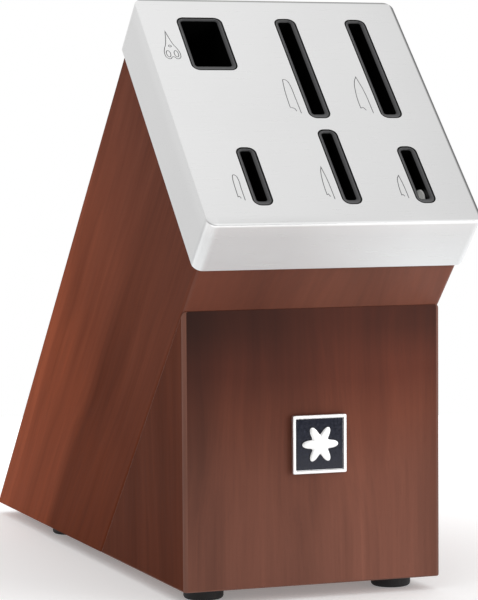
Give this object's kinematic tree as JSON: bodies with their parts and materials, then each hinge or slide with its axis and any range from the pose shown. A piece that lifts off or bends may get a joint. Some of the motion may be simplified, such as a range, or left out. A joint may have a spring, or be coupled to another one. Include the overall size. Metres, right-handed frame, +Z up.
{
  "type": "knife block",
  "caption": "Empty slanted wooden knife block with a brushed steel cap, lined slots, ceramic honing wheels behind some slots, a wedge-shaped foot and rubber feet.",
  "frame": {"origin": "on the ground plane, under the middle of the overall box", "axes": "+Z up; -Y is the front, where the wedge and the low edge of the slotted cover are; +X is to the right seen from the front; the slots run 45 degrees down and back"},
  "size_m": [0.114, 0.3216, 0.2399],
  "materials": {
    "stained_wood": "reddish-brown stain under a satin lacquer, straight grain along the slant",
    "plain_beech": "bare turned dowel",
    "brushed_steel": "fine satin brushed stainless steel",
    "black_plastic": "fine matte moulded plastic",
    "black_rubber": "smooth dull rubber",
    "white_ceramic": "fine-grit unglazed ceramic",
    "dark_enamel": "gloss enamel fill"
  },
  "bodies": {
    "root": {"back_panel": "stained_wood", "badge_adhesive_pad": "black_plastic", "badge_frame": "brushed_steel", "badge_inlay": "dark_enamel", "badge_rosette": "brushed_steel", "bottom_panel": "stained_wood", "deck_board": "stained_wood", "deck_screw_left_lower": "brushed_steel", "deck_screw_left_upper": "brushed_steel", "deck_screw_right_lower": "brushed_steel", "deck_screw_right_upper": "brushed_steel", "foot_back_left": "black_rubber", "foot_back_right": "black_rubber", "foot_front_left": "black_rubber", "foot_front_right": "black_rubber", "foot_screw_back_left": "brushed_steel", "foot_screw_back_right": "brushed_steel", "foot_screw_front_left": "brushed_steel", "foot_screw_front_right": "brushed_steel", "foot_wedge": "stained_wood", "front_panel": "stained_wood", "left_side_panel": "stained_wood", "right_side_panel": "stained_wood", "spacer_board": "stained_wood", "steel_cover": "brushed_steel", "wedge_dowel_left": "plain_beech", "wedge_dowel_right": "plain_beech", "liner_shears": "black_plastic", "liner_santoku": "black_plastic", "liner_chef": "black_plastic", "liner_serrated": "black_plastic", "liner_utility": "black_plastic", "liner_paring": "black_plastic", "honing_cradle_santoku": "black_plastic", "honing_cradle_chef": "black_plastic", "honing_cradle_utility": "black_plastic", "honing_cradle_paring": "black_plastic"},
    "honing_rotor_santoku": {"honing_axle_santoku": "brushed_steel", "honing_wheel_left_santoku": "white_ceramic", "honing_wheel_right_santoku": "white_ceramic"},
    "honing_rotor_chef": {"honing_axle_chef": "brushed_steel", "honing_wheel_left_chef": "white_ceramic", "honing_wheel_right_chef": "white_ceramic"},
    "honing_rotor_utility": {"honing_axle_utility": "brushed_steel", "honing_wheel_left_utility": "white_ceramic", "honing_wheel_right_utility": "white_ceramic"},
    "honing_rotor_paring": {"honing_axle_paring": "brushed_steel", "honing_wheel_left_paring": "white_ceramic", "honing_wheel_right_paring": "white_ceramic"}
  },
  "joints": [
    {"name": "honing_spin_santoku", "type": "hinge", "parent": "root", "child": "honing_rotor_santoku", "pos_m": [0.0053, -0.10451, 0.18716], "axis": [1, 0, 0], "continuous": true},
    {"name": "honing_spin_chef", "type": "hinge", "parent": "root", "child": "honing_rotor_chef", "pos_m": [0.0364, -0.10451, 0.18716], "axis": [1, 0, 0], "continuous": true},
    {"name": "honing_spin_utility", "type": "hinge", "parent": "root", "child": "honing_rotor_utility", "pos_m": [0.0053, -0.13803, 0.15364], "axis": [1, 0, 0], "continuous": true},
    {"name": "honing_spin_paring", "type": "hinge", "parent": "root", "child": "honing_rotor_paring", "pos_m": [0.0364, -0.14227, 0.15788], "axis": [1, 0, 0], "continuous": true}
  ]
}
